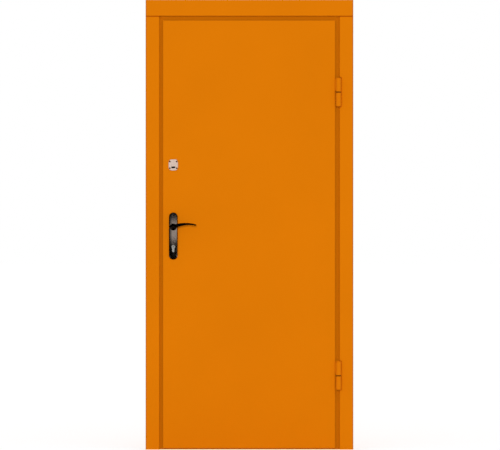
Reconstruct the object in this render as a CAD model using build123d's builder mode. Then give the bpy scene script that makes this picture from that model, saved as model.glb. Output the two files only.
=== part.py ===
from build123d import *
import os

# A steel entrance door: a welded tube frame with pressed casings round its outer face, and an
# outward-opening leaf on two lift-off barrel hinges, with two locks and a pair of lever handles.
# Millimetres. +Z is up, +Y points into the building, +X points to the hinges seen from outside.
# The origin is on the floor, in the middle of the sill's underside.

# Overall size, over the casings
overall_width = 960.0
overall_height = 2080.0

# Casings: pressed channels, open to the wall
casing_width = 63.0
head_casing_height = 75.0
casing_depth = 14.0
casing_sheet = 2.0
casing_bend = 2.5

# Frame: rectangular tubes, mitred at the head
tube_width = 50.0
frame_depth = 60.0
tube_wall = 2.0
sill_height = 30.0
anchor_diameter = 13.0
anchor_margin = 260.0
mitre_groove = 1.2

# Room between the leaf and the casings on each side, and between the leaf and the frame
lock_reveal = 17.0
hinge_reveal = 21.0
head_reveal = 21.0
leaf_lap = 12.0
leaf_gap = 9.0
floor_gap = 6.0

# Weather seal, glued to the frame where the leaf laps it
seal_width = 8.0
seal_thickness = 5.0

# Leaf: a folded outer skin over a tube frame, closed by an inner sheet
skin_sheet = 2.0
skin_edge = 8.0
skin_bend = 2.5
stile_width = 50.0
stile_depth = 50.0
stile_wall = 2.0
inner_sheet = 2.0

# Hinges: barrels in two halves, with a pin and a thrust ring
barrel_diameter = 25.0
barrel_length = 65.0
barrel_chamfer = 4.0
barrel_clearance = 3.0
hinge_proud = 6.0
ring_height = 3.0
ring_diameter = 21.0
running_gap = 0.3
pin_diameter = 14.0
pin_length = 45.0
pin_clearance = 0.1
lug_thickness = 7.0
lug_length = 54.0
notch_clearance = 3.0
notch_corner = 5.0
upper_hinge_drop = 332.0
lower_hinge_rise = 336.0

# Locks
lock_inset = 48.0
upper_lock_height = 1316.0
lever_height = 1029.0
cylinder_drop = 92.0
case_thickness = 16.0
case_width = 42.0
forend_thickness = 3.0
forend_width = 24.0
lower_forend_length = 240.0
upper_forend_length = 150.0
lower_case_length = 190.0
upper_case_length = 110.0
bolt_diameter = 14.0
bolt_spacing = 26.0
bolt_count = 3
bolt_proud = 1.0
latch_width = 12.0
latch_height = 24.0
strike_sheet = 1.5
strike_room = 2.0

# Lever handles
plate_length = 218.0
plate_width = 40.0
plate_thickness = 9.0
plate_bow = 3.0
plate_edge = 4.5
plate_above_lever = 67.0
boss_diameter = 32.0
boss_height = 9.0
neck_diameter = 18.0
lever_reach = 38.0
hub_diameter = 27.0
hub_depth = 19.0
hub_dome = 2.5
lever_length = 107.0
lever_rise = 12.4
lever_droop = 4.0
lever_root_height = 21.0
lever_tip_height = 6.8
lever_root_depth = 13.0
lever_tip_depth = 8.0
lever_tip_edge = 1.5
lever_fit = 0.4
spindle_size = 8.0
spindle_hole = 14.0

# Cylinder of the lower lock, to the common pear-shaped profile
cylinder_diameter = 17.0
cylinder_height = 33.0
cylinder_leg = 10.0
cylinder_proud = 3.0
cylinder_fit = 0.3
plug_diameter = 13.0
plug_groove = 0.6
key_slot_width = 3.0
key_slot_height = 9.0
key_slot_depth = 6.0

# Key plate of the upper lock
key_plate_width = 43.0
key_plate_height = 52.0
key_plate_thickness = 5.0
key_plate_corner = 15.0
key_plate_bevel = 1.5
key_plate_screw_x = 16.0
key_plate_screw_z = 15.5
key_plate_screw_diameter = 3.5
key_plate_screw_head = 7.0
keyhole_width = 19.0
keyhole_height = 8.0
keyhole_corner = 3.5
keyhole_drop = 11.5

# Places that follow from the sizes above, seen along X
half_width = overall_width / 2
casing_inner = half_width - casing_width
leaf_lock_edge = lock_reveal - casing_inner
leaf_hinge_edge = casing_inner - hinge_reveal
leaf_width = leaf_hinge_edge - leaf_lock_edge
leaf_centre = (leaf_hinge_edge + leaf_lock_edge) / 2
tube_inner = leaf_hinge_edge - leaf_lap
tube_outer = tube_inner + tube_width
box_half = tube_inner - leaf_gap
lock_x = leaf_lock_edge + lock_inset
hinge_x = leaf_hinge_edge + barrel_clearance + barrel_diameter / 2

# Seen along Z
head_casing_bottom = overall_height - head_casing_height
leaf_top = head_casing_bottom - head_reveal
leaf_bottom = floor_gap
head_bottom = leaf_top - leaf_lap
head_top = head_bottom + tube_width
box_top = head_bottom - leaf_gap
box_bottom = sill_height + leaf_gap
cylinder_centre = lever_height - cylinder_drop
lower_lock_middle = lever_height - cylinder_drop / 2
split_gap = ring_height + running_gap
upper_hinge_height = leaf_top - upper_hinge_drop
lower_hinge_height = leaf_bottom + lower_hinge_rise

# Seen along Y, from outside to inside
frame_front = -frame_depth / 2
face = frame_front - casing_depth
skin_edge_back = face + skin_edge
box_front = face + skin_sheet
box_back = box_front + stile_depth
leaf_back = box_back + inner_sheet
leaf_middle = (face + leaf_back) / 2
box_middle = (box_front + box_back) / 2
plate_front = face - plate_thickness
hinge_y = face - hinge_proud

os.makedirs("parts", exist_ok=True)


def save(piece, name):
    """Labels a finished piece and writes it as a file of that name."""
    piece.part.label = name
    export_step(piece.part, f"parts/{name}.step")


def mitre(corner_x, corner_z):
    """The 45 degree plane through an outer corner of a tube frame, facing the upright's side."""
    across = 1 if corner_x > 0 else -1
    up = 1 if corner_z > overall_height / 2 else -1
    return Plane(origin=(corner_x, 0, corner_z), z_dir=(across, 0, -up))


def groove_mitres(piece):
    """Breaks the outer and inner face's edges along each mitre, so that the joint shows as a fine line."""
    lines = piece.edges().filter_by(GeomType.LINE)
    slanted = lines - lines.filter_by(Axis.X) - lines.filter_by(Axis.Y) - lines.filter_by(Axis.Z)
    rows = slanted.group_by(Axis.Y)
    chamfer(rows[0] + rows[-1], mitre_groove)


def facing_out(x, y, z):
    """A plane at a place, looking out of the building: its own x is X and its own y is Z."""
    return Plane(origin=(x, y, z), x_dir=(1, 0, 0), z_dir=(0, -1, 0))


def facing_side(x, y, side):
    """A plane at a place on the floor, looking along X to one side: its own y is Z."""
    return Plane(origin=(x, y, 0), x_dir=(0, side, 0), z_dir=(side, 0, 0))


def bolt_heights(middle):
    """Heights of a row of lock bolts about its middle."""
    first = middle - bolt_spacing * (bolt_count - 1) / 2
    return [first + bolt_spacing * n for n in range(bolt_count)]


def bolt_outlines(room=0.0):
    """Adds the latch and both rows of bolts, with room round them, to the open sketch."""
    with Locations((0, lever_height)):
        Rectangle(latch_width + 2 * room, latch_height + 2 * room)
    for height in bolt_heights(cylinder_centre) + bolt_heights(upper_lock_height):
        with Locations((0, height)):
            Circle(bolt_diameter / 2 + room)


def pear_profile(room=0.0):
    """Adds the lock cylinder's section to the open sketch, about the middle of its round plug."""
    leg_width = cylinder_leg + 2 * room
    drop = cylinder_height - cylinder_diameter / 2 - cylinder_leg / 2
    Circle(cylinder_diameter / 2 + room)
    with Locations((0, -drop / 2)):
        Rectangle(leg_width, drop)
    with Locations((0, -drop)):
        Circle(leg_width / 2)


def cut_lock_holes(start, depth, room):
    """Cuts the spindle's, the cylinder's and the key's holes, from Y start to a depth inwards."""
    with BuildSketch(facing_out(lock_x, start, 0)) as holes:
        with Locations((0, lever_height)):
            Circle(spindle_hole / 2)
        with Locations((0, upper_lock_height - keyhole_drop)):
            Rectangle(keyhole_width, keyhole_height)
    with BuildSketch(facing_out(lock_x, start, cylinder_centre)) as pear:
        pear_profile(room)
    extrude(holes.sketch, amount=-depth, mode=Mode.SUBTRACT)
    extrude(pear.sketch, amount=-depth, mode=Mode.SUBTRACT)


# Frame uprights: square-cut feet, mitred heads, holes for the wall anchors
def jamb(side):
    """A frame upright on one side; the lock's side also has holes for the latch and bolts."""
    with BuildPart() as post:
        with BuildSketch(Plane.XY):
            with Locations((side * (tube_outer - tube_width / 2), 0)):
                Rectangle(tube_width, frame_depth)
                Rectangle(tube_width - 2 * tube_wall, frame_depth - 2 * tube_wall, mode=Mode.SUBTRACT)
        extrude(amount=head_top)
        split(bisect_by=mitre(side * tube_outer, head_top), keep=Keep.TOP)
        groove_mitres(post)
        with BuildSketch(facing_side(side * tube_outer, 0, side)):
            with Locations((0, anchor_margin), (0, head_top - anchor_margin)):
                Circle(anchor_diameter / 2)
        extrude(amount=-tube_width, mode=Mode.SUBTRACT)
        if side < 0:
            with BuildSketch(facing_side(-tube_inner, box_middle, 1)):
                bolt_outlines(strike_room)
            extrude(amount=-tube_wall, mode=Mode.SUBTRACT)
    return post


lock_jamb = jamb(-1)
hinge_jamb = jamb(1)
save(lock_jamb, "lock_jamb")
save(hinge_jamb, "hinge_jamb")

# Frame head, mitred to both uprights
with BuildPart() as frame_head:
    with BuildSketch(Plane.YZ.offset(-tube_outer)):
        with Locations((0, (head_bottom + head_top) / 2)):
            Rectangle(frame_depth, tube_width)
            Rectangle(frame_depth - 2 * tube_wall, tube_width - 2 * tube_wall, mode=Mode.SUBTRACT)
    extrude(amount=2 * tube_outer)
    split(bisect_by=mitre(-tube_outer, head_top), keep=Keep.BOTTOM)
    split(bisect_by=mitre(tube_outer, head_top), keep=Keep.BOTTOM)
    groove_mitres(frame_head)
save(frame_head, "frame_head")

# Sill, between the uprights
with BuildPart() as sill:
    with BuildSketch(Plane.YZ.offset(-tube_inner)):
        with Locations((0, sill_height / 2)):
            Rectangle(frame_depth, sill_height)
            Rectangle(frame_depth - 2 * tube_wall, sill_height - 2 * tube_wall, mode=Mode.SUBTRACT)
    extrude(amount=2 * tube_inner)
save(sill, "sill")


# Casings of the uprights: folded channels that butt under the head casing
def side_casing(side):
    """A side casing; on the hinges' side it is notched round both barrels."""
    middle = side * (half_width - casing_width / 2)
    with BuildPart() as casing:
        with BuildSketch(Plane.XY) as section:
            with Locations((middle, face + casing_depth / 2)):
                Rectangle(casing_width, casing_depth)
            fillet(section.vertices().group_by(Axis.Y)[0], casing_bend)
            with Locations((middle, face + casing_sheet + casing_depth / 2)):
                Rectangle(casing_width - 2 * casing_sheet, casing_depth, mode=Mode.SUBTRACT)
        extrude(amount=head_casing_bottom)
        if side > 0:
            notch_end = hinge_x + barrel_diameter / 2 + notch_clearance
            notch_width = 2 * (notch_end - casing_inner)
            notch_length = 2 * barrel_length + split_gap + 2 * notch_clearance
            with BuildSketch(facing_out(casing_inner, face, 0)):
                with Locations((0, upper_hinge_height), (0, lower_hinge_height)):
                    RectangleRounded(notch_width, notch_length, notch_corner)
            extrude(amount=-casing_depth, mode=Mode.SUBTRACT)
    return casing


lock_casing = side_casing(-1)
hinge_casing = side_casing(1)
save(lock_casing, "lock_casing")
save(hinge_casing, "hinge_casing")

# Head casing, full width, folded on all four sides
with BuildPart() as head_casing:
    with BuildSketch(facing_out(0, face, overall_height - head_casing_height / 2)):
        Rectangle(overall_width, head_casing_height)
    extrude(amount=-casing_depth)
    fillet(head_casing.faces().sort_by(Axis.Y)[0].edges(), casing_bend)
    with BuildSketch(facing_out(0, face + casing_sheet, overall_height - head_casing_height / 2)):
        Rectangle(overall_width - 2 * casing_sheet, head_casing_height - 2 * casing_sheet)
    extrude(amount=-casing_depth, mode=Mode.SUBTRACT)
save(head_casing, "head_casing")


# Weather seals: one strip a side, along the middle of the lap, the long ones between the cross ones
def seal(x, z, width, height):
    """A rubber strip on the frame's outer face, about a middle, with its outer edges rounded."""
    with BuildPart() as strip:
        with BuildSketch(facing_out(x, frame_front, z)):
            Rectangle(width, height)
        extrude(amount=seal_thickness)
        fillet(strip.faces().sort_by(Axis.Y)[0].edges(), seal_width / 4)
    return strip


seal_x = tube_inner + leaf_lap / 2
seal_top = head_bottom + leaf_lap / 2
seal_bottom = sill_height - leaf_lap / 2
seal_middle = (seal_top + seal_bottom) / 2
seal_height = seal_top - seal_bottom - seal_width
head_seal = seal(0, seal_top, 2 * seal_x + seal_width, seal_width)
sill_seal = seal(0, seal_bottom, 2 * tube_inner, seal_width)
lock_seal = seal(-seal_x, seal_middle, seal_width, seal_height)
hinge_seal = seal(seal_x, seal_middle, seal_width, seal_height)
save(head_seal, "head_seal")
save(sill_seal, "sill_seal")
save(lock_seal, "lock_seal")
save(hinge_seal, "hinge_seal")


# Strike plates on the lock jamb, facing the two locks
def strike_plate(middle, length):
    """A strike plate with the same holes as the jamb behind it."""
    with BuildPart() as plate:
        with BuildSketch(facing_side(-tube_inner, box_middle, 1)):
            with Locations((0, middle)):
                RectangleRounded(forend_width, length, forend_width / 4)
        extrude(amount=strike_sheet)
        with BuildSketch(facing_side(-tube_inner, box_middle, 1)):
            bolt_outlines(strike_room)
        extrude(amount=strike_sheet, mode=Mode.SUBTRACT)
    return plate


upper_strike = strike_plate(upper_lock_height, upper_forend_length)
lower_strike = strike_plate(lower_lock_middle, lower_forend_length)
save(upper_strike, "upper_strike_plate")
save(lower_strike, "lower_strike_plate")


# Hinges: the frame's half carries the pin and the thrust ring, the leaf's half turns on them
def frame_knuckle(height):
    """The lower half of a hinge, with its pin and the lug that is welded to the frame."""
    top = height - split_gap / 2
    with BuildPart() as knuckle:
        with BuildSketch(Plane.XY.offset(top - barrel_length)):
            with Locations((hinge_x, hinge_y)):
                Circle(barrel_diameter / 2)
        extrude(amount=barrel_length)
        chamfer(knuckle.faces().sort_by(Axis.Z)[0].edges(), barrel_chamfer)
        with BuildSketch(Plane.XY.offset(top)):
            with Locations((hinge_x, hinge_y)):
                Circle(pin_diameter / 2)
        extrude(amount=pin_length)
        chamfer(knuckle.faces().sort_by(Axis.Z)[-1].edges(), pin_diameter / 10)
        with BuildSketch(facing_out(hinge_x, frame_front, top - barrel_length / 2)):
            Rectangle(lug_thickness, lug_length)
        extrude(amount=frame_front - hinge_y)
    return knuckle


def leaf_knuckle(height):
    """The upper half of a hinge, with its blind bore and the lug that is welded to the leaf's edge."""
    bottom = height + split_gap / 2
    lug_y = (hinge_y + skin_edge_back) / 2 + (skin_edge_back - hinge_y) / 4
    with BuildPart() as knuckle:
        with BuildSketch(Plane.XY.offset(bottom)):
            with Locations((hinge_x, hinge_y)):
                Circle(barrel_diameter / 2)
        extrude(amount=barrel_length)
        chamfer(knuckle.faces().sort_by(Axis.Z)[-1].edges(), barrel_chamfer)
        with BuildSketch(facing_side(leaf_hinge_edge, lug_y, 1)):
            with Locations((0, bottom + barrel_length / 2)):
                Rectangle(lug_thickness, lug_length)
        extrude(amount=hinge_x - leaf_hinge_edge)
        with BuildSketch(Plane.XY.offset(bottom)):
            with Locations((hinge_x, hinge_y)):
                Circle(pin_diameter / 2 + pin_clearance)
        extrude(amount=pin_length, mode=Mode.SUBTRACT)
    return knuckle


def thrust_ring(height):
    """The bearing ring that sits on the frame's half of a hinge, round the pin."""
    with BuildPart() as ring:
        with BuildSketch(Plane.XY.offset(height - split_gap / 2)):
            with Locations((hinge_x, hinge_y)):
                Circle(ring_diameter / 2)
                Circle(pin_diameter / 2 + pin_clearance, mode=Mode.SUBTRACT)
        extrude(amount=ring_height)
    return ring


upper_frame_knuckle = frame_knuckle(upper_hinge_height)
lower_frame_knuckle = frame_knuckle(lower_hinge_height)
upper_leaf_knuckle = leaf_knuckle(upper_hinge_height)
lower_leaf_knuckle = leaf_knuckle(lower_hinge_height)
upper_ring = thrust_ring(upper_hinge_height)
lower_ring = thrust_ring(lower_hinge_height)
save(upper_frame_knuckle, "upper_hinge_frame_half")
save(lower_frame_knuckle, "lower_hinge_frame_half")
save(upper_leaf_knuckle, "upper_hinge_leaf_half")
save(lower_leaf_knuckle, "lower_hinge_leaf_half")
save(upper_ring, "upper_hinge_ring")
save(lower_ring, "lower_hinge_ring")

# Outer skin of the leaf: one sheet, folded back and in again at all four edges
with BuildPart() as outer_skin:
    with BuildSketch(facing_out(leaf_centre, face, (leaf_top + leaf_bottom) / 2)):
        Rectangle(leaf_width, leaf_top - leaf_bottom)
    extrude(amount=-skin_edge)
    fillet(outer_skin.faces().sort_by(Axis.Y)[0].edges(), skin_bend)
    with BuildSketch(facing_out(leaf_centre, box_front, (leaf_top + leaf_bottom) / 2)):
        Rectangle(leaf_width - 2 * skin_sheet, leaf_top - leaf_bottom - 2 * skin_sheet)
    extrude(amount=2 * skin_sheet - skin_edge, mode=Mode.SUBTRACT)
    with BuildSketch(facing_out(0, box_front, (box_top + box_bottom) / 2)):
        Rectangle(2 * box_half, box_top - box_bottom)
    extrude(amount=-skin_edge, mode=Mode.SUBTRACT)
    cut_lock_holes(face, skin_sheet, cylinder_fit)
save(outer_skin, "outer_skin")

# Inner sheet of the leaf, flat
with BuildPart() as inner_skin:
    with BuildSketch(facing_out(0, box_back, (box_top + box_bottom) / 2)):
        Rectangle(2 * box_half, box_top - box_bottom)
    extrude(amount=-inner_sheet)
    cut_lock_holes(box_back, inner_sheet, cylinder_fit)
save(inner_skin, "inner_skin")


# Tube frame of the leaf, mitred at its four corners
def stile(side):
    """An upright of the leaf; the lock's side has windows for both locks and their holes."""
    with BuildPart() as post:
        with BuildSketch(Plane.XY.offset(box_bottom)):
            with Locations((side * (box_half - stile_width / 2), box_middle)):
                Rectangle(stile_width, stile_depth)
                Rectangle(stile_width - 2 * stile_wall, stile_depth - 2 * stile_wall, mode=Mode.SUBTRACT)
        extrude(amount=box_top - box_bottom)
        split(bisect_by=mitre(side * box_half, box_top), keep=Keep.TOP)
        split(bisect_by=mitre(side * box_half, box_bottom), keep=Keep.TOP)
        if side < 0:
            with BuildSketch(facing_side(-box_half, box_middle, -1)):
                with Locations((0, upper_lock_height)):
                    Rectangle(forend_width, upper_forend_length)
                with Locations((0, lower_lock_middle)):
                    Rectangle(forend_width, lower_forend_length)
            extrude(amount=-stile_wall, mode=Mode.SUBTRACT)
            cut_lock_holes(box_front, stile_depth, cylinder_fit)
    return post


def rail(bottom):
    """A cross piece of the leaf's tube frame, from its underside."""
    with BuildPart() as bar:
        with BuildSketch(Plane.YZ.offset(-box_half)):
            with Locations((box_middle, bottom + stile_width / 2)):
                Rectangle(stile_depth, stile_width)
                Rectangle(stile_depth - 2 * stile_wall, stile_width - 2 * stile_wall, mode=Mode.SUBTRACT)
        extrude(amount=2 * box_half)
        corner = box_top if bottom > box_bottom else box_bottom
        split(bisect_by=mitre(-box_half, corner), keep=Keep.BOTTOM)
        split(bisect_by=mitre(box_half, corner), keep=Keep.BOTTOM)
    return bar


lock_stile = stile(-1)
hinge_stile = stile(1)
top_rail = rail(box_top - stile_width)
bottom_rail = rail(box_bottom)
save(lock_stile, "lock_stile")
save(hinge_stile, "hinge_stile")
save(top_rail, "top_rail")
save(bottom_rail, "bottom_rail")


# Locks: a case inside the stile behind a forend let into its edge, with the bolts drawn back
def lock(middle, forend_length, case_length):
    """One lock about a height, with every bolt that lies within its forend."""
    with BuildPart() as body:
        with BuildSketch(facing_side(-box_half, box_middle, -1)):
            with Locations((0, middle)):
                Rectangle(forend_width, forend_length)
        extrude(amount=-forend_thickness)
        with BuildSketch(facing_side(forend_thickness - box_half, box_middle, -1)):
            with Locations((0, middle)):
                Rectangle(case_thickness, case_length)
        extrude(amount=-case_width)
        with BuildSketch(facing_side(-box_half, box_middle, -1)):
            bolt_outlines()
            with Locations((0, middle)):
                Rectangle(forend_width, forend_length, mode=Mode.INTERSECT)
        extrude(amount=bolt_proud)
    return body


with BuildPart() as upper_lock:
    add(lock(upper_lock_height, upper_forend_length, upper_case_length).part)
save(upper_lock, "upper_lock")

with BuildPart() as lower_lock:
    add(lock(lower_lock_middle, lower_forend_length, lower_case_length).part)
    cut_lock_holes(box_middle - case_thickness / 2, case_thickness, 0)
save(lower_lock, "lower_lock")

# Cylinder of the lower lock, right through the leaf, with a key slot at both ends
cylinder_start = plate_front - cylinder_proud
cylinder_end = 2 * leaf_middle - cylinder_start
with BuildPart() as lock_cylinder:
    with BuildSketch(facing_out(lock_x, cylinder_start, cylinder_centre)):
        pear_profile()
    extrude(amount=cylinder_start - cylinder_end)
    for start, inwards in ((cylinder_start, -1), (cylinder_end, 1)):
        with BuildSketch(facing_out(lock_x, start, cylinder_centre)) as key_slot:
            Rectangle(key_slot_width, key_slot_height)
        extrude(key_slot.sketch, amount=inwards * key_slot_depth, mode=Mode.SUBTRACT)
        with BuildSketch(facing_out(lock_x, start, cylinder_centre)) as plug_edge:
            Circle(plug_diameter / 2)
            Circle(plug_diameter / 2 - plug_groove, mode=Mode.SUBTRACT)
        extrude(plug_edge.sketch, amount=inwards * plug_groove, mode=Mode.SUBTRACT)
save(lock_cylinder, "lock_cylinder")

# Handle plates, one on each face of the leaf
plate_middle = lever_height + plate_above_lever - plate_length / 2
plate_end = plate_front + plate_bow
across_leaf = Plane.XZ.offset(-leaf_middle)
with BuildPart() as outer_plate:
    with BuildSketch(facing_out(lock_x, face, plate_middle)):
        SlotOverall(plate_length, plate_width, rotation=90)
    extrude(amount=plate_thickness)
    with BuildSketch(Plane.YZ.offset(lock_x - plate_width / 2)):
        with BuildLine():
            Line((face, plate_middle - plate_length / 2), (face, plate_middle + plate_length / 2))
            Line((face, plate_middle + plate_length / 2), (plate_end, plate_middle + plate_length / 2))
            ThreePointArc((plate_end, plate_middle + plate_length / 2), (plate_front, plate_middle),
                          (plate_end, plate_middle - plate_length / 2))
            Line((plate_end, plate_middle - plate_length / 2), (face, plate_middle - plate_length / 2))
        make_face()
    extrude(amount=plate_width, mode=Mode.INTERSECT)
    fillet(outer_plate.faces().sort_by(Axis.Y)[0].edges(), plate_edge)
    with BuildSketch(facing_out(lock_x, face, lever_height)) as neck_hole:
        Circle(neck_diameter / 2 + lever_fit)
    extrude(neck_hole.sketch, amount=plate_thickness, mode=Mode.SUBTRACT)
    with BuildSketch(facing_out(lock_x, face, cylinder_centre)) as cylinder_hole:
        pear_profile(cylinder_fit)
    extrude(cylinder_hole.sketch, amount=plate_thickness, mode=Mode.SUBTRACT)
save(outer_plate, "outer_handle_plate")

with BuildPart() as inner_plate:
    mirror(outer_plate.part, about=across_leaf)
save(inner_plate, "inner_handle_plate")

# Key plates of the upper lock, one on each face of the leaf
with BuildPart() as outer_key_plate:
    with BuildSketch(facing_out(lock_x, face, upper_lock_height)):
        RectangleRounded(key_plate_width, key_plate_height, key_plate_corner)
    extrude(amount=key_plate_thickness)
    chamfer(outer_key_plate.faces().sort_by(Axis.Y)[0].edges(), key_plate_bevel)
    with BuildSketch(facing_out(lock_x, face, upper_lock_height - keyhole_drop)) as keyhole:
        Rectangle(keyhole_width, keyhole_height)
        fillet(keyhole.vertices().group_by(Axis.Y)[0], keyhole_corner)
    extrude(amount=key_plate_thickness, mode=Mode.SUBTRACT)
    with Locations(facing_out(lock_x, face - key_plate_thickness, upper_lock_height)):
        with GridLocations(2 * key_plate_screw_x, 2 * key_plate_screw_z, 2, 2):
            CounterSinkHole(key_plate_screw_diameter / 2, key_plate_screw_head / 2, key_plate_thickness)
save(outer_key_plate, "outer_key_plate")

with BuildPart() as inner_key_plate:
    mirror(outer_key_plate.part, about=across_leaf)
save(inner_key_plate, "inner_key_plate")

# Levers: a turned boss, neck and hub, and an arm lofted along a wave
boss_back = plate_front - lever_fit
boss_edge = boss_back - boss_height / 2
boss_front = boss_back - boss_height
arm_y = plate_front - lever_reach
hub_back = arm_y + hub_depth / 2
hub_edge = arm_y - hub_depth / 2
hub_front = hub_edge - hub_dome
neck_end = face - lever_fit
neck_radius = neck_diameter / 2
hub_radius = hub_diameter / 2
with BuildPart() as outer_lever:
    with BuildSketch(Plane(origin=(lock_x, 0, lever_height), x_dir=(1, 0, 0), z_dir=(0, 0, 1))):
        with BuildLine():
            Polyline((0, hub_front), (0, neck_end), (neck_radius, neck_end), (neck_radius, boss_back),
                     (boss_diameter / 2, boss_back), (boss_diameter / 2, boss_edge),
                     (neck_radius, boss_front), (neck_radius, hub_back), (hub_radius, hub_back),
                     (hub_radius, hub_edge))
            TangentArc((0, hub_front), (hub_radius, hub_edge), tangent=(1, 0))
        make_face()
    revolve(axis=Axis((lock_x, 0, lever_height), (0, 1, 0)))
    with BuildLine(facing_out(lock_x, arm_y, lever_height)) as spine:
        wave = Spline((0, 0), (lever_length / 5, lever_rise * 0.6), (lever_length * 0.43, lever_rise),
                      (lever_length, lever_rise - lever_droop))
    for step in (0, 0.2, 0.45, 0.75, 1):
        place = wave.position_at(step)
        height = lever_tip_height + (lever_root_height - lever_tip_height) * (1 - step) ** 1.8
        depth = lever_tip_depth + (lever_root_depth - lever_tip_depth) * (1 - step)
        with BuildSketch(Plane(origin=place, x_dir=(0, 1, 0), z_dir=(1, 0, 0))):
            Ellipse(depth / 2, height / 2)
    loft()
    fillet(outer_lever.faces().sort_by(Axis.X)[-1].edges(), lever_tip_edge)
save(outer_lever, "outer_lever")

with BuildPart() as inner_lever:
    mirror(outer_lever.part, about=across_leaf)
save(inner_lever, "inner_lever")

# Square spindle between the two levers
with BuildPart() as spindle:
    with BuildSketch(facing_out(lock_x, neck_end, lever_height)):
        Rectangle(spindle_size, spindle_size)
    extrude(amount=-2 * (leaf_middle - neck_end))
save(spindle, "spindle")
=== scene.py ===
"""Dresses a packed steel entrance door: paint, plate, lacquer, rubber, and its small fasteners and welds.

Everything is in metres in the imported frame: +Z is up, +Y points into the building and +X points to the
hinges as seen from outside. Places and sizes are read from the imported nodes.
"""

from __future__ import annotations

import logging
import math
from dataclasses import dataclass, field, replace
from enum import Enum
from typing import Sequence

import bpy
import numpy as np
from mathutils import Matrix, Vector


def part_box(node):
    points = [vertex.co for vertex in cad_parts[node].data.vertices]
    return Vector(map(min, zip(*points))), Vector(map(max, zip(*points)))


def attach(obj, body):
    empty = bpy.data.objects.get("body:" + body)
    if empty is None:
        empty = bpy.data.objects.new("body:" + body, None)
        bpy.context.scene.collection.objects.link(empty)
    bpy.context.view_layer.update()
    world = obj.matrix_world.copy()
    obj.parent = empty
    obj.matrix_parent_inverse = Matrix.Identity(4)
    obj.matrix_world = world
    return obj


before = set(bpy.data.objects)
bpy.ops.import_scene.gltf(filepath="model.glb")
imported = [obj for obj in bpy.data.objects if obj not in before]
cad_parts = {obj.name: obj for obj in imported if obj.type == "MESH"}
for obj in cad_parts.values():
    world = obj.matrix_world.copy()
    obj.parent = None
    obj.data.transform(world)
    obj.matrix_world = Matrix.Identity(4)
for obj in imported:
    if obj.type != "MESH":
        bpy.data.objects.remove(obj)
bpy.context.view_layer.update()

log = logging.getLogger("entrance_door")

MM = 0.001
Point = Sequence[float]
Colour = tuple[float, float, float]


class Facing(Enum):
    """The way that a fastener's head looks, as a unit vector."""

    OUT = (0.0, -1.0, 0.0)
    IN = (0.0, 1.0, 0.0)
    TO_LOCK = (-1.0, 0.0, 0.0)
    TO_HINGES = (1.0, 0.0, 0.0)


class Body(Enum):
    """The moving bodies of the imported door."""

    FRAME = "frame"
    LEAF = "leaf"
    LEVER = "lever"


class Slot(Enum):
    """The record's material slots."""

    PAINT = "paint"
    RUBBER = "rubber"
    STEEL = "steel"
    NICKEL = "nickel"
    BRONZE = "bronze"
    CHROME = "chrome"


# Finishes


def linear(colour: Colour) -> Colour:
    """Turns a colour as a screen shows it, each channel from 0 to 255, into linear light.

    Args:
        colour: red, green and blue from 0 to 255.

    Returns:
        The same colour in linear light from 0 to 1.
    """
    shown = np.asarray(colour, float) / 255
    light = np.where(shown <= 0.04045, shown / 12.92, ((shown + 0.055) / 1.055) ** 2.4)
    return tuple(float(c) for c in light)


# Values of a cloud pattern between which a colour drifts, wear comes in and gloss drifts, and of the
# cosine between a face and its rounded normal between which wear comes in
CLOUD_SPAN = (0.32, 0.68)
PATCH_SPAN = (0.48, 0.62)
HAZE_SPAN = (0.3, 0.7)
EDGE_SPAN = (1.0, 0.7)
HAZE_FINER = 5  # how many times shorter the gloss drifts than the colour


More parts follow.
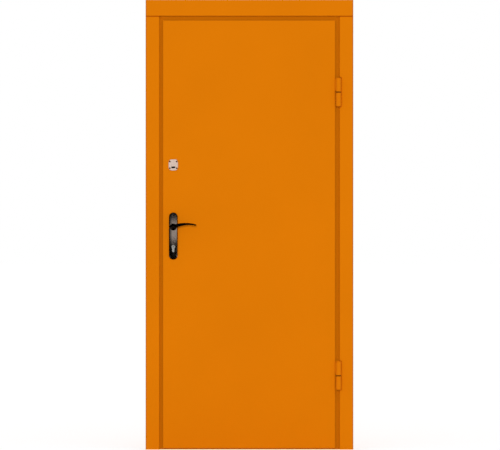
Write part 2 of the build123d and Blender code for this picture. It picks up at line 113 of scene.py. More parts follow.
class NodeSheet:
    """A new material and short ways to add nodes to its tree."""

    def __init__(self, name: str) -> None:
        """Makes the material with its shader and its Object coordinates.

        Args:
            name: the material's name.
        """
        self.material = bpy.data.materials.new(name)
        self.material.use_nodes = True
        self.tree = self.material.node_tree
        self.shader = self.tree.nodes["Principled BSDF"]
        self.place = self.add("ShaderNodeTexCoord").outputs["Object"]

    def add(self, kind: str, **inputs: object) -> bpy.types.Node:
        """Adds a node.

        Args:
            kind: the node's type.
            **inputs: values by the input's name, with _ for a space.

        Returns:
            The node.
        """
        node = self.tree.nodes.new(kind)
        for name, value in inputs.items():
            node.inputs[name.replace("_", " ")].default_value = value
        return node

    def join(self, source: bpy.types.NodeSocket, target: bpy.types.NodeSocket) -> None:
        """Links one socket to another."""
        self.tree.links.new(source, target)

    def stretched(self, stretch: Point) -> bpy.types.NodeSocket:
        """Stretches the Object coordinates.

        Args:
            stretch: the factor on each.

        Returns:
            The stretched coordinates.
        """
        mapping = self.add("ShaderNodeMapping", Scale=tuple(stretch))
        self.join(self.place, mapping.inputs["Vector"])
        return mapping.outputs["Vector"]

    def noise(self, size: float, detail: float = 2.0, stretch: Point = (1, 1, 1)) -> bpy.types.NodeSocket:
        """Adds a cloud pattern.

        Args:
            size: length of its largest features, in metres.
            detail: how many finer layers it has.
            stretch: factors on the coordinates; a small one draws the pattern out that way.

        Returns:
            The pattern's value, about 0.3 to 0.7.
        """
        pattern = self.add("ShaderNodeTexNoise", Scale=1 / size, Detail=detail)
        self.join(self.stretched(stretch), pattern.inputs["Vector"])
        return pattern.outputs["Fac"]

    def remap(
        self, value: bpy.types.NodeSocket, low: float, high: float, start: float, end: float
    ) -> bpy.types.NodeSocket:
        """Carries a value from one span over to another, and holds it at the ends outside.

        Args:
            value: the value to carry over.
            low: first end of its own span.
            high: second end of its own span.
            start: what low becomes.
            end: what high becomes.

        Returns:
            The new value.
        """
        node = self.add("ShaderNodeMapRange", From_Min=low, From_Max=high, To_Min=start, To_Max=end)
        self.join(value, node.inputs["Value"])
        return node.outputs["Result"]

    def product(self, first: bpy.types.NodeSocket, second: bpy.types.NodeSocket) -> bpy.types.NodeSocket:
        """Multiplies two values.

        Args:
            first: one value.
            second: the other.

        Returns:
            Their product.
        """
        node = self.add("ShaderNodeMath")
        node.operation = "MULTIPLY"
        self.join(first, node.inputs[0])
        self.join(second, node.inputs[1])
        return node.outputs["Value"]

    def blend(
        self,
        share: bpy.types.NodeSocket,
        under: Colour | bpy.types.NodeSocket,
        over: Colour | bpy.types.NodeSocket,
    ) -> bpy.types.NodeSocket:
        """Mixes two colours.

        Args:
            share: how much of the second shows.
            under: the first colour, or a socket that gives it.
            over: the second colour, or a socket that gives it.

        Returns:
            The mixed colour.
        """
        mix = self.add("ShaderNodeMix")
        mix.data_type = "RGBA"
        self.join(share, mix.inputs["Factor"])
        for side, colour in (("A", under), ("B", over)):
            socket = next(s for s in mix.inputs if s.name == side and s.type == "RGBA")
            if isinstance(colour, bpy.types.NodeSocket):
                self.join(colour, socket)
            else:
                socket.default_value = (*colour, 1.0)
        return next(s for s in mix.outputs if s.type == "RGBA")

    def edges(self, radius: float, samples: int = 4) -> bpy.types.NodeSocket:
        """Finds the edges, by the cosine between the true and the rounded normal.

        Args:
            radius: how far from an edge it reaches, in metres.
            samples: looks at the faces nearby that round the normal.

        Returns:
            0 on flat faces, rising to 1 on a sharp edge.
        """
        rounded = self.add("ShaderNodeBevel", Radius=radius)
        rounded.samples = samples
        geometry = self.add("ShaderNodeNewGeometry")
        cosine = self.add("ShaderNodeVectorMath")
        cosine.operation = "DOT_PRODUCT"
        self.join(rounded.outputs["Normal"], cosine.inputs[0])
        self.join(geometry.outputs["Normal"], cosine.inputs[1])
        return self.remap(cosine.outputs["Value"], *EDGE_SPAN, 0.0, 1.0)


class Axis(Enum):
    """The axes that a band of colour can run across."""

    X = "X"
    Y = "Y"
    Z = "Z"


@dataclass(frozen=True)
class Band:
    """A stretch of another colour: none of it at the start, and full from the end on.

    Attributes:
        axis: the axis that it runs along.
        start: where it starts to show, in metres.
        end: where it is full; below start for a band that grows downwards.
        colour: its colour, 0 to 255.
    """

    axis: Axis
    start: float
    end: float
    colour: Colour

    @classmethod
    def beside(cls, axis: Axis, place: float, way: int, span: tuple[float, float], colour: Colour) -> Band:
        """Gives a band that starts and is full at two distances from a place, to its + or - side."""
        return cls(axis, place + way * span[0], place + way * span[1], colour)


@dataclass(frozen=True)
class Finish:
    """One surface finish, with its colour drift, its grain and its wear.

    Attributes:
        name: the material's name.
        slot: the record's slot that it stands for.
        colour: its colour as a screen shows it, each channel 0 to 255.
        metallic: 1 for bare or plated metal, 0 for paint and rubber.
        roughness: middle of its roughness.
        polish: how far the roughness drifts either way.
        drift: share by which the colour drifts lighter and darker.
        drift_size: length of that drift, in metres.
        grain_size: length of the surface grain, in metres.
        grain_height: height of that grain, in metres.
        grain_stretch: factors that draw the grain out into lines.
        wear_colour: what shows where the finish is rubbed, 0 to 255.
        wear: share of the wear that shows on edges.
        wear_reach: how far from an edge it reaches, in metres.
        wear_patch: length of its patches, in metres.
        specular: level of the mirror reflection on paint and rubber.
        tint: colour of that reflection, 0 to 255.
        bands: stretches of another colour, such as painted shade in a joint.
    """

    name: str
    slot: Slot
    colour: Colour
    metallic: float = 0.0
    roughness: float = 0.4
    polish: float = 0.06
    drift: float = 0.03
    drift_size: float = 0.25
    grain_size: float = 0.003
    grain_height: float = 0.00002
    grain_stretch: Point = (1.0, 1.0, 1.0)
    wear_colour: Colour = (150, 148, 144)
    wear: float = 0.25
    wear_reach: float = 0.8 * MM
    wear_patch: float = 30 * MM
    specular: float = 0.5
    tint: Colour = (255, 255, 255)
    bands: tuple[Band, ...] = ()

    def material(self) -> bpy.types.Material:
        """Gives the finish's material, made once.

        Returns:
            A node material: colour that drifts in soft clouds, a rubbed colour along the edges, bands of
            other colours over both, roughness that drifts, and grain as bump.
        """
        known = bpy.data.materials.get(self.name)
        if known is not None:
            return known
        sheet = NodeSheet(self.name)
        base = np.array(linear(self.colour))
        clouds = sheet.remap(sheet.noise(self.drift_size, detail=4.0), *CLOUD_SPAN, 0.0, 1.0)
        colour = sheet.blend(clouds, tuple(base * (1 - self.drift)), tuple(base * (1 + self.drift)))
        patches = sheet.remap(sheet.noise(self.wear_patch, detail=5.0), *PATCH_SPAN, 0.0, self.wear)
        rubbed = sheet.product(sheet.edges(self.wear_reach), patches)
        colour = sheet.blend(rubbed, colour, linear(self.wear_colour))
        for band in self.bands:
            apart = sheet.add("ShaderNodeSeparateXYZ")
            sheet.join(sheet.place, apart.inputs["Vector"])
            share = sheet.remap(apart.outputs[band.axis.value], band.start, band.end, 0.0, 1.0)
            colour = sheet.blend(share, colour, linear(band.colour))
        sheet.join(colour, sheet.shader.inputs["Base Color"])
        gloss = (self.roughness - self.polish, self.roughness + self.polish)
        haze = sheet.noise(self.drift_size / HAZE_FINER, detail=5.0, stretch=self.grain_stretch)
        sheet.join(sheet.remap(haze, *HAZE_SPAN, *gloss), sheet.shader.inputs["Roughness"])
        bump = sheet.add("ShaderNodeBump", Strength=1.0, Distance=self.grain_height)
        sheet.join(sheet.noise(self.grain_size, stretch=self.grain_stretch), bump.inputs["Height"])
        sheet.join(bump.outputs["Normal"], sheet.shader.inputs["Normal"])
        sheet.shader.inputs["Metallic"].default_value = self.metallic
        sheet.shader.inputs["Specular IOR Level"].default_value = self.specular
        sheet.shader.inputs["Specular Tint"].default_value = (*linear(self.tint), 1.0)
        return sheet.material

    def put_on(self, *nodes: str) -> None:
        """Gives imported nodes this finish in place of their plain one.

        Args:
            *nodes: the nodes' names.
        """
        for node in nodes:
            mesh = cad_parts[node].data
            mesh.materials.clear()
            mesh.materials.append(self.material())
            log.info("%s: %s", node, self.name)


# Places that painted shade follows, and the colours of paint and of painted shade
LEAF_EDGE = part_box("lock_stile")[0].x
PLATE_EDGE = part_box("outer_handle_plate")[0].x
FRAME_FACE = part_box("lock_jamb")[0].y
CASING_LOW, CASING_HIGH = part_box("lock_casing")
ORANGE = (221, 121, 6)
# painted shade: the groove's floor is this darker orange, for the shade in that recess
GROOVE_SHADE_ORANGE = (201, 110, 5)
# painted shade: this brown darkens the casings' outer bends, for the shade on their sideways faces
EDGE_SHADE_BROWN = (184, 92, 4)
# painted shade: this brown darkens the side casings' tops, for the shade in the joint under the head casing
JOINT_SHADE_BROWN = (180, 82, 2)
GREASE = (112, 42, 2)
# painted shade: near black on the lock's case past its forend, for the shade inside the keyhole
LOCK_SHADE_BLACK = (14, 12, 11)
# painted shade: this brown darkens the handle plates along their lock-side edge
PLATE_EDGE_SHADE_BROWN = (66, 60, 56)

# Distances at which another colour starts to show and is full
CASING_EDGE = (5 * MM, 1 * MM)  # in from a casing's outer edge
CASING_JOINT = (5.5 * MM, 4 * MM)  # down from a side casing's top
BEHIND_FACE = (0.1 * MM, 0.5 * MM)  # in from the frame's face
UNDER_CASING = (0.2 * MM, 0.6 * MM)  # in under a casing's inner edge
BEHIND_FOREND = (2.8 * MM, 2.9 * MM)  # in from the leaf's edge
ALONG_PLATE = (16 * MM, 5 * MM)  # in from a handle plate's edge on the lock side

# Painted shade on the casings' outer edges and in the joints under the head casing, and painted shade on
# the floor of the frame's groove only, with plain orange on all of the rest of the frame
EDGE_SHADE_BANDS = (
    Band.beside(Axis.X, CASING_LOW.x, 1, CASING_EDGE, EDGE_SHADE_BROWN),
    Band.beside(Axis.X, -CASING_LOW.x, -1, CASING_EDGE, EDGE_SHADE_BROWN),
)
JOINT_SHADE_BAND = Band.beside(Axis.Z, CASING_HIGH.z, -1, CASING_JOINT, JOINT_SHADE_BROWN)
GROOVE_SHADE_ONLY = (
    Band.beside(Axis.Y, FRAME_FACE, 1, BEHIND_FACE, ORANGE),
    Band.beside(Axis.X, CASING_HIGH.x, -1, UNDER_CASING, ORANGE),
    Band.beside(Axis.X, -CASING_HIGH.x, 1, UNDER_CASING, ORANGE),
)


def hinge_painted_light(level: str, fade: float = 2 * MM) -> tuple[Band, Band]:
    """Gives painted light on the frame behind a hinge: plain orange instead of the groove's painted shade.

    Args:
        level: which hinge, upper or lower.
        fade: height over which the plain orange comes in and goes.

    Returns:
        The band that brings it in below the hinge, and the one that ends it above.
    """
    low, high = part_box(f"{level}_hinge_frame_half")[0].z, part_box(f"{level}_hinge_leaf_half")[1].z
    return Band(Axis.Z, low - fade, low, ORANGE), Band(Axis.Z, high, high + fade, GROOVE_SHADE_ORANGE)


ORANGE_PAINT = Finish(
    "orange_paint", Slot.PAINT, ORANGE, roughness=0.42, drift=0.02, drift_size=0.4,
    grain_size=0.0035, grain_height=0.00004, wear_colour=(236, 150, 60), wear=0.5, specular=0.25,
    tint=(255, 150, 20),
)
# painted shade: the frame is the darker groove orange on the floor of its groove only
FRAME_PAINT = replace(ORANGE_PAINT, name="frame_paint", colour=GROOVE_SHADE_ORANGE, bands=GROOVE_SHADE_ONLY)
# painted shade in the groove, and painted light at the hinges, so the slot beside each barrel reads lighter
HINGE_JAMB_PAINT = replace(
    FRAME_PAINT,
    name="hinge_jamb_paint",
    bands=(*hinge_painted_light("lower"), *hinge_painted_light("upper"), *GROOVE_SHADE_ONLY),
)
# painted shade along both outer edges of the casings
HEAD_CASING_PAINT = replace(ORANGE_PAINT, name="head_casing_paint", bands=EDGE_SHADE_BANDS)
# painted shade in the joint under the head casing, besides the painted shade on the edges
SIDE_CASING_PAINT = replace(ORANGE_PAINT, name="side_casing_paint", bands=(*EDGE_SHADE_BANDS, JOINT_SHADE_BAND))
FOAM_RUBBER = Finish(
    "foam_rubber", Slot.RUBBER, (38, 37, 36), roughness=0.85, drift=0.15, drift_size=0.05,
    grain_size=0.0008, grain_height=0.0001, wear_colour=(70, 68, 66), specular=0.2,
)
ZINC_STEEL = Finish(
    "zinc_steel", Slot.STEEL, (196, 194, 188), metallic=0.5, roughness=0.38, drift=0.06, drift_size=0.04,
    grain_size=0.004, grain_height=0.00001, grain_stretch=(8.0, 8.0, 0.4), wear_colour=(120, 112, 100),
)
# painted shade: the lock's case turns near black past its forend, for the shade inside the keyhole
LOCK_STEEL = Finish(
    "lock_steel", Slot.STEEL, (188, 186, 180), metallic=0.5, roughness=0.36, drift=0.06, drift_size=0.04,
    grain_size=0.004, grain_height=0.00001, grain_stretch=(8.0, 8.0, 0.4), wear_colour=(84, 78, 70),
    wear=0.9, bands=(Band.beside(Axis.X, LEAF_EDGE, 1, BEHIND_FOREND, LOCK_SHADE_BLACK),),
)
OILED_STEEL = Finish(
    "oiled_steel", Slot.STEEL, (74, 26, 5), metallic=0.0, roughness=0.5, drift=0.15, drift_size=0.006,
    grain_size=0.0006, grain_height=0.00001, wear_colour=(150, 130, 110), specular=0.1, tint=(255, 150, 40),
)
SATIN_NICKEL = Finish(
    "satin_nickel", Slot.NICKEL, (214, 213, 206), metallic=0.7, roughness=0.4, drift=0.05, drift_size=0.02,
    grain_size=0.0006, grain_height=0.000004, wear_colour=(150, 128, 84),
)
# painted shade along the plate's edge on the lock side
DARK_BRONZE = Finish(
    "dark_bronze", Slot.BRONZE, (144, 131, 122), metallic=1.0, roughness=0.1, polish=0.03, drift=0.1,
    drift_size=0.03, grain_size=0.002, grain_height=0.000003, wear_colour=(150, 120, 90), wear=0.35,
    tint=(90, 74, 62), bands=(Band.beside(Axis.X, PLATE_EDGE, 1, ALONG_PLATE, PLATE_EDGE_SHADE_BROWN),),
)
BLACK_BRONZE = Finish(
    "black_bronze", Slot.BRONZE, (40, 32, 28), metallic=1.0, roughness=0.26, polish=0.06, drift=0.12,
    drift_size=0.03, grain_size=0.002, grain_height=0.000004, wear_colour=(112, 86, 62), wear=0.3,
    tint=(70, 56, 46),
)
PALE_CHROME = Finish(
    "pale_chrome", Slot.CHROME, (236, 211, 196), metallic=0.3, roughness=0.3, drift=0.03, drift_size=0.02,
    grain_size=0.0015, grain_height=0.000004, wear_colour=(176, 168, 160),
)
DULL_SCREW = Finish(
    "dull_screw", Slot.STEEL, (128, 124, 116), metallic=0.4, roughness=0.45, drift=0.08, drift_size=0.006,
    grain_size=0.0006, grain_height=0.00001, wear_colour=(170, 166, 160),
)
BROWN_SCREW = Finish(
    "browned_screw", Slot.STEEL, (84, 36, 6), metallic=0.0, roughness=0.5, drift=0.1, drift_size=0.004,
    grain_size=0.0006, grain_height=0.00001, wear_colour=(130, 96, 64), specular=0.3, tint=(255, 190, 120),
)
ORANGE_PLUG = Finish(
    "orange_plug", Slot.PAINT, (205, 108, 10), roughness=0.5, drift=0.04, drift_size=0.01,
    grain_size=0.0007, grain_height=0.00001, wear_colour=(230, 150, 70), specular=0.3, tint=(255, 170, 60),
)


# Surfaces

SHARP_ANGLE = math.radians(40)
ASKEW = (0.6, -0.8, 0.1)  # a way that no weld runs


def looking(facing: Facing) -> np.ndarray:
    """Finds the axes of a head.

    Args:
        facing: the way that it looks.

    Returns:
        Three unit rows: across the face, up it and out of it. Across is up crossed with out.
    """
    out = np.array(facing.value)
    up = np.array((0.0, 0.0, 1.0))
    return np.stack((np.cross(up, out), up, out))


def closed_grid(name: str, rows: np.ndarray, finish: Finish, body: Body) -> bpy.types.Object:
    """Makes a closed piece from rings of points, shut at both ends by one point.

    The first and the last ring are single points in effect: their middle is taken. Every other ring
    is joined to the next by quads, and the end rings to their points by fans.

    Args:
        name: the piece's name.
        rows: array of rings, shape (rings, points round, 3), turning so that faces point outwards.
        finish: what it is made of.
        body: what it rides on.

    Returns:
        The finished piece.
    """
    rings, around = rows.shape[:2]
    inner = rows[1:-1].reshape(-1, 3)
    points = np.concatenate((inner, rows[:1].mean(1), rows[-1:].mean(1)))
    first, last = len(inner), len(inner) + 1
    ring, turn = np.meshgrid(np.arange(rings - 3), np.arange(around), indexing="ij")
    here, there = ring * around, (ring + 1) * around
    step = (turn + 1) % around
    quads = np.stack((here + turn, there + turn, there + step, here + step), -1).reshape(-1, 4)
    spoke = np.arange(around)
    next_spoke = (spoke + 1) % around
    end = (rings - 3) * around
    top = np.stack((np.full(around, first), spoke, next_spoke), -1)
    bottom = np.stack((np.full(around, last), end + next_spoke, end + spoke), -1)
    mesh = bpy.data.meshes.new(name)
    mesh.from_pydata(points.tolist(), [], quads.tolist() + top.tolist() + bottom.tolist())
    mesh.validate()
    mesh.shade_smooth()
    mesh.set_sharp_from_angle(angle=SHARP_ANGLE)
    mesh.materials.append(finish.material())
    piece = bpy.data.objects.new(name, mesh)
    bpy.context.scene.collection.objects.link(piece)
    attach(piece, body.value)
    log.info("%s: %d faces", name, len(mesh.polygons))
    return piece


@dataclass(frozen=True)
class Fastener:
    """A round head with a crowned top: a screw with a cross in it, or a plain plug.

    Attributes:
        radius: the head's radius.
        crown: height of the top's middle above its rim.
        rim: height of the rim above the face that it sits on.
        sink: how far the head goes into that face.
        cross: half the width of the cross's slots; 0 for none.
        cross_reach: half the length of those slots.
        cross_depth: their depth.
        around: points round the head.
        rings: rings of points from the middle of the top out to its rim.
        lip: share of the sink down to which the rim is straight.
        cone: share of the radius that is left at the bottom.
    """

    radius: float
    crown: float
    rim: float
    sink: float
    cross: float = 0.0
    cross_reach: float = 0.0
    cross_depth: float = 0.0
    around: int = 48
    rings: int = 15
    lip: float = 0.05
    cone: float = 0.66

    def put_in(
        self, name: str, centre: Point, facing: Facing, finish: Finish, body: Body
    ) -> bpy.types.Object:
        """Makes one at a place.

        The top is a height over a disc: crown times 1 minus the squared share of the radius, less the
        cross's depth inside either slot. Below its rim the head narrows to a share of it as a cone.

        Args:
            name: the piece's name.
            centre: middle of the head, on the face that it sits on.
            facing: the way that it looks.
            finish: what it is made of.
            body: what it rides on.

        Returns:
            The piece.
        """
        share = np.concatenate((np.linspace(0, 1, self.rings), (1.0, self.cone, 0.0)))
        angle = np.linspace(0, 2 * math.pi, self.around, endpoint=False)
        spread = share[:, None] * self.radius
        across, up = spread * np.cos(angle), spread * np.sin(angle)
        height = self.rim + self.crown * (1 - share[:, None] ** 2) + 0 * across
        slots = ((abs(across) < self.cross) & (abs(up) < self.cross_reach)) | (
            (abs(up) < self.cross) & (abs(across) < self.cross_reach)
        )
        height = height - self.cross_depth * slots
        height[self.rings], height[self.rings + 1 :] = -self.lip * self.sink, -self.sink
        local = np.stack((across, up, height), -1)
        return closed_grid(name, np.asarray(centre, float) + local @ looking(facing), finish, body)


@dataclass(frozen=True)
class WeldBead:
    """A fillet of weld along a straight joint, with the ripples of its passes.

    Attributes:
        radius: half the bead's width.
        pitch: length of one ripple.
        ripple: share by which a ripple swells the bead.
        steps: rings of points along one ripple.
        around: points round the bead.
        squareness: power of the swell, which is flatter for a higher one.
    """

    radius: float = 2.0 * MM
    pitch: float = 2.4 * MM
    ripple: float = 0.1
    steps: int = 6
    around: int = 14
    squareness: int = 24

    def lay(self, name: str, start: Point, end: Point, finish: Finish, body: Body) -> bpy.types.Object:
        """Lays a bead between two points.

        A circle is carried along the line. Its radius is the bead's, times the root of 1 minus a high
        power of the distance from the middle, which closes both ends, times 1 plus a cosine ripple.

        Args:
            name: the piece's name.
            start: where the bead starts.
            end: where it ends.
            finish: the paint over it.
            body: what it rides on.

        Returns:
            The piece.
        """
        start, end = np.asarray(start, float), np.asarray(end, float)
        length = float(np.linalg.norm(end - start))
        along = np.linspace(0, 1, self.steps * round(length / self.pitch))
        swell = np.sqrt(np.clip(1 - abs(2 * along - 1) ** self.squareness, 0, 1))
        radius = self.radius * swell * (1 + self.ripple * np.cos(2 * math.pi * along * length / self.pitch))
        angle = np.linspace(0, 2 * math.pi, self.around, endpoint=False)
        forward = (end - start) / length
        side = np.cross(forward, ASKEW)
        side /= np.linalg.norm(side)
        ring = np.cos(angle)[:, None] * side + np.sin(angle)[:, None] * np.cross(side, forward)
        rows = start + along[:, None, None] * (end - start) + radius[:, None, None] * ring
        return closed_grid(name, rows, finish, body)


# Sub-assemblies


@dataclass
class FrameSet:
    """The welded tube frame with its casings, sill, seals, strike plates and wall anchors.

    Attributes:
        anchor_plug: the plug over an anchor.
        strike_screw: the screw in a strike plate.
        anchor_margin: height of the lower anchors, and distance of the upper ones from the tube's top.
        strike_screw_margin: distance of a screw from the strike plate's end.
    """

    anchor_plug: Fastener = Fastener(radius=9.0 * MM, crown=0.8 * MM, rim=0.5 * MM, sink=1.6 * MM)
    strike_screw: Fastener = Fastener(
        radius=3.8 * MM, crown=0.4 * MM, rim=0.1 * MM, sink=1.2 * MM,
        cross=0.6 * MM, cross_reach=2.2 * MM, cross_depth=0.7 * MM,
    )
    anchor_margin: float = 260 * MM
    strike_screw_margin: float = 9 * MM

    def dress(self) -> None:
        """Paints the frame and its casings, and gives the seals and strike plates their finish."""
        FRAME_PAINT.put_on("frame_head", "lock_jamb")
        HINGE_JAMB_PAINT.put_on("hinge_jamb")
        ORANGE_PAINT.put_on("sill")
        HEAD_CASING_PAINT.put_on("head_casing")
        SIDE_CASING_PAINT.put_on("lock_casing", "hinge_casing")
        FOAM_RUBBER.put_on("head_seal", "sill_seal", "lock_seal", "hinge_seal")
        ZINC_STEEL.put_on("upper_strike_plate", "lower_strike_plate")

    def plug_anchors(self) -> None:
        """Closes the anchor holes inside the doorway with domed plugs."""
        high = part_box("lock_jamb")[1]
        far_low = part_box("hinge_jamb")[0]
        for side, x, facing in (("lock", high.x, Facing.TO_HINGES), ("hinge", far_low.x, Facing.TO_LOCK)):
            for level, z in (("lower", self.anchor_margin), ("upper", high.z - self.anchor_margin)):
                name = f"{side}_{level}_anchor_plug"
                self.anchor_plug.put_in(name, (x, 0, z), facing, ORANGE_PLUG, Body.FRAME)

    def screw_strikes(self) -> None:
        """Puts a countersunk screw near both ends of each strike plate."""
        for level in ("upper", "lower"):
            low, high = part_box(f"{level}_strike_plate")
            middle = (low.y + high.y) / 2
            ends = (low.z + self.strike_screw_margin, high.z - self.strike_screw_margin)
            for number, z in enumerate(ends, 1):
                name = f"{level}_strike_screw_{number}"
                centre = (high.x, middle, z)
                self.strike_screw.put_in(name, centre, Facing.TO_HINGES, DULL_SCREW, Body.FRAME)


@dataclass
class LeafSet:
    """The leaf: its skins, its tube frame and the locks let into its edge.

    Attributes:
        forend_screw: the screw in a lock's forend.
        forend_screw_margin: its distance from the forend's end.
    """

    forend_screw: Fastener = Fastener(
        radius=3.8 * MM, crown=0.4 * MM, rim=0.1 * MM, sink=1.6 * MM,
        cross=0.6 * MM, cross_reach=2.2 * MM, cross_depth=0.7 * MM,
    )
    forend_screw_margin: float = 8 * MM

    def dress(self) -> None:
        """Paints the leaf and gives the locks their finish."""
        ORANGE_PAINT.put_on(
            "outer_skin", "inner_skin", "lock_stile", "hinge_stile", "top_rail", "bottom_rail"
        )
        LOCK_STEEL.put_on("upper_lock", "lower_lock")

    def screw_forends(self) -> None:
        """Puts a countersunk screw near both ends of each lock's forend."""
        for level in ("upper", "lower"):
            low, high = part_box(f"{level}_lock")
            middle = (low.y + high.y) / 2
            ends = (low.z + self.forend_screw_margin, high.z - self.forend_screw_margin)
            for number, z in enumerate(ends, 1):
                name = f"{level}_forend_screw_{number}"
                centre = (LEAF_EDGE, middle, z)
                self.forend_screw.put_in(name, centre, Facing.TO_LOCK, DULL_SCREW, Body.LEAF)


@dataclass
class HingeSet:
    """Both barrel hinges, with the welds that hold their lugs.

    Attributes:
        bead: the weld along a lug.
        lug_half_thickness: half the thickness of a lug.
        lug_length: a lug's height.
        stain: how far grease stains the paint next to a ring.
    """

    bead: WeldBead = field(default_factory=WeldBead)
    lug_half_thickness: float = 3.5 * MM
    lug_length: float = 54 * MM
    stain: float = 1.5 * MM

    def dress(self) -> None:
        """Paints the barrels, browned by grease next to the rings, and leaves the rings oiled."""
        for level in ("upper", "lower"):
            ring_low, ring_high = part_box(f"{level}_hinge_ring")
            for half, rim, way in (("frame", ring_low.z, -1), ("leaf", ring_high.z, 1)):
                stain = Band(Axis.Z, rim + way * self.stain, rim + way * self.stain / 2, GREASE)
                paint = replace(ORANGE_PAINT, name=f"{level}_hinge_{half}_paint", bands=(stain,))
                paint.put_on(f"{level}_hinge_{half}_half")
            OILED_STEEL.put_on(f"{level}_hinge_ring")

    def weld(self) -> None:
        """Lays a bead on both sides of each lug at the frame, and one where a lug meets the leaf."""
        leaf_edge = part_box("outer_skin")[1]
        for level in ("upper", "lower"):
            low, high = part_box(f"{level}_hinge_frame_half")
            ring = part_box(f"{level}_hinge_ring")[0].z
            axis_x = (low.x + high.x) / 2
            middle = (low.z + ring) / 2
            ends = (middle - self.lug_length / 2, middle + self.lug_length / 2)
            for side, way in (("left", -1), ("right", 1)):
                name = f"{level}_hinge_frame_weld_{side}"
                x = axis_x + way * self.lug_half_thickness
                start, end = (x, high.y, ends[0]), (x, high.y, ends[1])
                self.bead.lay(name, start, end, ORANGE_PAINT, Body.FRAME)
            low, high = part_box(f"{level}_hinge_leaf_half")
            middle = (low.z + high.z) / 2
            start = (leaf_edge.x, leaf_edge.y, middle - self.lug_length / 2)
            end = (leaf_edge.x, leaf_edge.y, middle + self.lug_length / 2)
            self.bead.lay(f"{level}_hinge_leaf_weld", start, end, ORANGE_PAINT, Body.LEAF)


@dataclass
class HandleSet:
    """The lever handles on their long plates, the cylinder and the spindle.

    Attributes:
        plate_screw: the screw in the inner plate.
        plate_screw_margin: its distance from the plate's end.
        plate_bow: how far the plate's face falls back from its middle to that place.
    """

    plate_screw: Fastener = Fastener(
        radius=3.6 * MM, crown=1.3 * MM, rim=0.5 * MM, sink=1.0 * MM,
        cross=0.55 * MM, cross_reach=2.1 * MM, cross_depth=0.7 * MM,
    )
    plate_screw_margin: float = 12 * MM
    plate_bow: float = 2.4 * MM

    def dress(self) -> None:
        """Gives the handles dark bronze, the cylinder nickel and the spindle plain steel."""
        DARK_BRONZE.put_on("outer_handle_plate", "inner_handle_plate")
        BLACK_BRONZE.put_on("outer_lever", "inner_lever")
        SATIN_NICKEL.put_on("lock_cylinder")
        ZINC_STEEL.put_on("spindle")

    def screw_inner_plate(self) -> None:
        """Puts a screw at the top and the bottom of the inner plate, which draws both plates together."""
        low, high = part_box("inner_handle_plate")
        middle = (low.x + high.x) / 2
        margin = self.plate_screw_margin
        for end, z in (("lower", low.z + margin), ("upper", high.z - margin)):
            centre = (middle, high.y - self.plate_bow, z)
            name = f"inner_plate_{end}_screw"
            self.plate_screw.put_in(name, centre, Facing.IN, BROWN_SCREW, Body.LEAF)


@dataclass
class KeyPlateSet:
    """The upper lock's key plates, each held by four dark screws.

    Attributes:
        screw: the screw in a plate's corner.
        screw_x: its distance from the plate's middle, across.
        screw_z: its distance from the middle, up or down.
    """

    screw: Fastener = Fastener(
        radius=3.9 * MM, crown=0.7 * MM, rim=0.2 * MM, sink=2.2 * MM,
        cross=0.55 * MM, cross_reach=2.2 * MM, cross_depth=0.6 * MM,
    )
    screw_x: float = 16 * MM
    screw_z: float = 15.5 * MM

    def dress(self) -> None:
        """Gives both key plates pale chrome."""
        PALE_CHROME.put_on("outer_key_plate", "inner_key_plate")

    def fix(self) -> None:
        """Puts a countersunk screw in each hole of both plates."""
        for side, facing in (("outer", Facing.OUT), ("inner", Facing.IN)):
            low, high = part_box(f"{side}_key_plate")
            face = low.y if facing is Facing.OUT else high.y
            middle = (low + high) / 2
            places = [(sx, sz) for sx in (-1, 1) for sz in (-1, 1)]
            for number, (sx, sz) in enumerate(places, 1):
                centre = (middle.x + sx * self.screw_x, face, middle.z + sz * self.screw_z)
                name = f"{side}_key_plate_screw_{number}"
                self.screw.put_in(name, centre, facing, BROWN_SCREW, Body.LEAF)


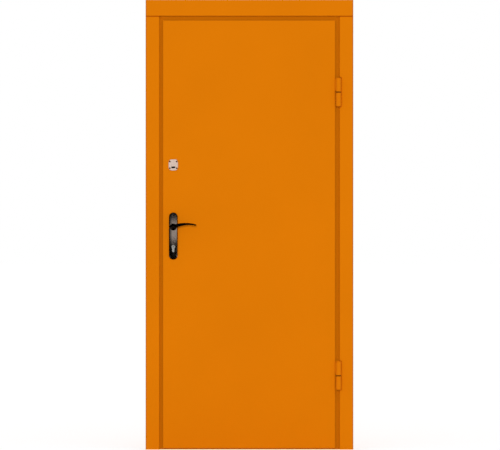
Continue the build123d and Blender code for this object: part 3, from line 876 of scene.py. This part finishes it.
@dataclass
class Studio:
    """A white floor in an even white room, dark cards for mirrors, two lamps, and the camera.

    Attributes:
        pixel: size of one of the photograph's pixels on the door's face.
        wide: the photograph's width in pixels.
        lens: the camera's focal length, in millimetres.
        sensor: the camera's sensor width, in millimetres.
        clip: how far the camera sees.
        aim_x: where the picture's middle falls on the door, across.
        aim_z: where it falls, above the floor.
        room_light: strength of the even light.
        lamp: strength of each lamp.
        lamp_height: the lamps' angle above the horizon, in degrees.
        lamp_spread: angle that a lamp's disc fills, in degrees.
        floor_half: half the floor's length.
        floor_glow: share of the floor's white that no shadow dims.
        floor_shade: the grey that the light brings up to the rest of its white.
        floor_bounce: the grey with which the floor lights the door.
        card_deep: how far in front of the door and behind it the dark cards stand.
        card_side: how far to either side they stand.
        card_top: height of the card above the door.
        card_low: height of the card on the floor.
        card_floor_side: how far to either side the card on the floor reaches.
        card_grey: the cards' shade.
        window_left: where the bright window between the cards starts, across.
        window_low: height of the window's lower edge.
        window_high: height of its upper edge.
    """

    pixel: float = 4.6233 * MM
    wide: int = 500
    lens: float = 200.0
    sensor: float = 36.0
    clip: float = 200.0
    aim_x: float = 2.5 * MM
    aim_z: float = 1038.2 * MM
    room_light: float = 0.6
    lamp: float = 1.3
    lamp_height: float = 8.0
    lamp_spread: float = 8.0
    floor_half: float = 60.0
    floor_glow: float = 0.5
    floor_shade: float = 0.72
    floor_bounce: float = 0.92
    card_deep: float = 10.0
    card_side: float = 4.2
    card_top: float = 14.0
    card_low: float = 2 * MM
    card_floor_side: float = 1.3
    card_grey: float = 0.01
    window_left: float = -2.2
    window_low: float = 0.72
    window_high: float = 1.8

    def flat(self, name: str, corners: Sequence[Point], material: bpy.types.Material) -> bpy.types.Object:
        """Makes one flat sheet of the studio.

        Args:
            name: the sheet's name.
            corners: its four corners.
            material: what it is made of.

        Returns:
            The sheet, marked as not part of the door.
        """
        mesh = bpy.data.meshes.new(name)
        mesh.from_pydata([tuple(c) for c in corners], [], [(0, 1, 2, 3)])
        mesh.materials.append(material)
        piece = bpy.data.objects.new(name, mesh)
        bpy.context.scene.collection.objects.link(piece)
        return piece

    def seen(self, tree: bpy.types.NodeTree) -> bpy.types.NodeSocket:
        """Tells what is seen from what only gives light.

        Args:
            tree: the node tree that asks.

        Returns:
            1 for what the camera sees, straight, in a mirror or through glass, and 0 otherwise.
        """
        path = tree.nodes.new("ShaderNodeLightPath")
        share = path.outputs["Is Camera Ray"]
        for ray in ("Is Glossy Ray", "Is Transmission Ray"):
            either = tree.nodes.new("ShaderNodeMath")
            either.operation = "MAXIMUM"
            tree.links.new(share, either.inputs[0])
            tree.links.new(path.outputs[ray], either.inputs[1])
            share = either.outputs["Value"]
        return share

    def floor(self) -> None:
        """Lays the floor just under the door: white to the eye, and grey as a source of light."""
        sheet = NodeSheet("studio_white")
        bounce, shade = (self.floor_bounce,) * 3, (self.floor_shade,) * 3
        seen = self.seen(sheet.tree)
        sheet.join(sheet.blend(seen, bounce, shade), sheet.shader.inputs["Base Color"])
        glow = sheet.remap(seen, 0.0, 1.0, 0.0, self.floor_glow)
        sheet.join(glow, sheet.shader.inputs["Emission Strength"])
        sheet.shader.inputs["Emission Color"].default_value = (1.0, 1.0, 1.0, 1.0)
        sheet.shader.inputs["Roughness"].default_value = 1.0
        sheet.shader.inputs["Specular IOR Level"].default_value = 0.0
        h = self.floor_half
        self.flat("studio_floor", ((-h, -h, 0), (h, -h, 0), (h, h, 0), (-h, h, 0)), sheet.material)

    def dark_cards(self) -> None:
        """Stands dark cards round the door that only mirrors see, so that metal has shape.

        They leave one bright window in front of the door, and the same behind it. The card on the
        floor is a strip, so that metal seen from the side shows the white floor beside it.
        """
        sheet = NodeSheet("studio_black")
        grey = self.card_grey
        sheet.shader.inputs["Base Color"].default_value = (grey, grey, grey, 1.0)
        sheet.shader.inputs["Specular IOR Level"].default_value = 0.0
        deep, side, top, low = self.card_deep, self.card_side, self.card_top, self.card_low
        walls = {
            "low": (-side, side, low, self.window_low),
            "high": (-side, side, self.window_high, top),
            "post": (-side, self.window_left, self.window_low, self.window_high),
        }
        cards = {}
        for name, reach, z in (("card_floor", self.card_floor_side, low), ("card_top", side, top)):
            cards[name] = ((-reach, -deep, z), (reach, -deep, z), (reach, deep, z), (-reach, deep, z))
        for place, y in (("front", -deep), ("back", deep)):
            for wall, (x0, x1, z0, z1) in walls.items():
                cards[f"card_{place}_{wall}"] = ((x0, y, z0), (x1, y, z0), (x1, y, z1), (x0, y, z1))
        for place, x in (("left", -side), ("right", side)):
            cards[f"card_{place}"] = ((x, deep, low), (x, -deep, low), (x, -deep, top), (x, deep, top))
        for name, corners in cards.items():
            card = self.flat(name, corners, sheet.material)
            card.visible_camera = False
            card.visible_diffuse = False
            card.visible_shadow = False
            card.visible_transmission = False

    def room(self) -> None:
        """Makes the world white to the eye, and a plain even light."""
        world = bpy.data.worlds.new("white_room")
        bpy.context.scene.world = world
        world.use_nodes = True
        tree = world.node_tree
        tree.nodes.clear()
        mix = tree.nodes.new("ShaderNodeMixShader")
        tree.links.new(self.seen(tree), mix.inputs["Fac"])
        for place, strength in ((1, self.room_light), (2, 1.0)):
            light = tree.nodes.new("ShaderNodeBackground")
            light.inputs["Color"].default_value = (1, 1, 1, 1)
            light.inputs["Strength"].default_value = strength
            tree.links.new(light.outputs["Background"], mix.inputs[place])
        output = tree.nodes.new("ShaderNodeOutputWorld")
        tree.links.new(mix.outputs["Shader"], output.inputs["Surface"])

    def lamps(self) -> None:
        """Hangs a lamp straight in front of the door and one straight behind; mirrors don't show them."""
        for name, turn in (("front_lamp", 0), ("back_lamp", 180)):
            light = bpy.data.lights.new(name, "SUN")
            light.energy = self.lamp
            light.angle = math.radians(self.lamp_spread)
            lamp = bpy.data.objects.new(name, light)
            lamp.rotation_euler = (math.radians(90 - self.lamp_height), 0, math.radians(turn))
            lamp.visible_glossy = False
            bpy.context.scene.collection.objects.link(lamp)

    def camera(self) -> None:
        """Stands the camera straight in front, so far off that a pixel has its size on the door's face."""
        data = bpy.data.cameras.new("camera")
        data.lens = self.lens
        data.sensor_width = self.sensor
        data.clip_end = self.clip
        distance = self.pixel * self.wide * self.lens / self.sensor
        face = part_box("outer_skin")[0].y
        camera = bpy.data.objects.new("camera", data)
        camera.location = (self.aim_x, face - distance, self.aim_z)
        camera.rotation_euler = (math.radians(90), 0, 0)
        bpy.context.scene.collection.objects.link(camera)
        bpy.context.scene.camera = camera
        bpy.context.scene.view_settings.view_transform = "Standard"


def main() -> None:
    """Dresses every sub-assembly in turn, adds what fastens it, and sets up the studio."""
    logging.basicConfig(level=logging.INFO, format="%(name)s: %(message)s")
    frame_set, leaf, hinges = FrameSet(), LeafSet(), HingeSet()
    handles, key_plates = HandleSet(), KeyPlateSet()
    for part in (frame_set, leaf, hinges, handles, key_plates):
        part.dress()
    frame_set.plug_anchors()
    frame_set.screw_strikes()
    leaf.screw_forends()
    hinges.weld()
    handles.screw_inner_plate()
    key_plates.fix()
    studio = Studio()
    studio.floor()
    studio.dark_cards()
    studio.room()
    studio.lamps()
    studio.camera()


if __name__ == "__main__":
    main()
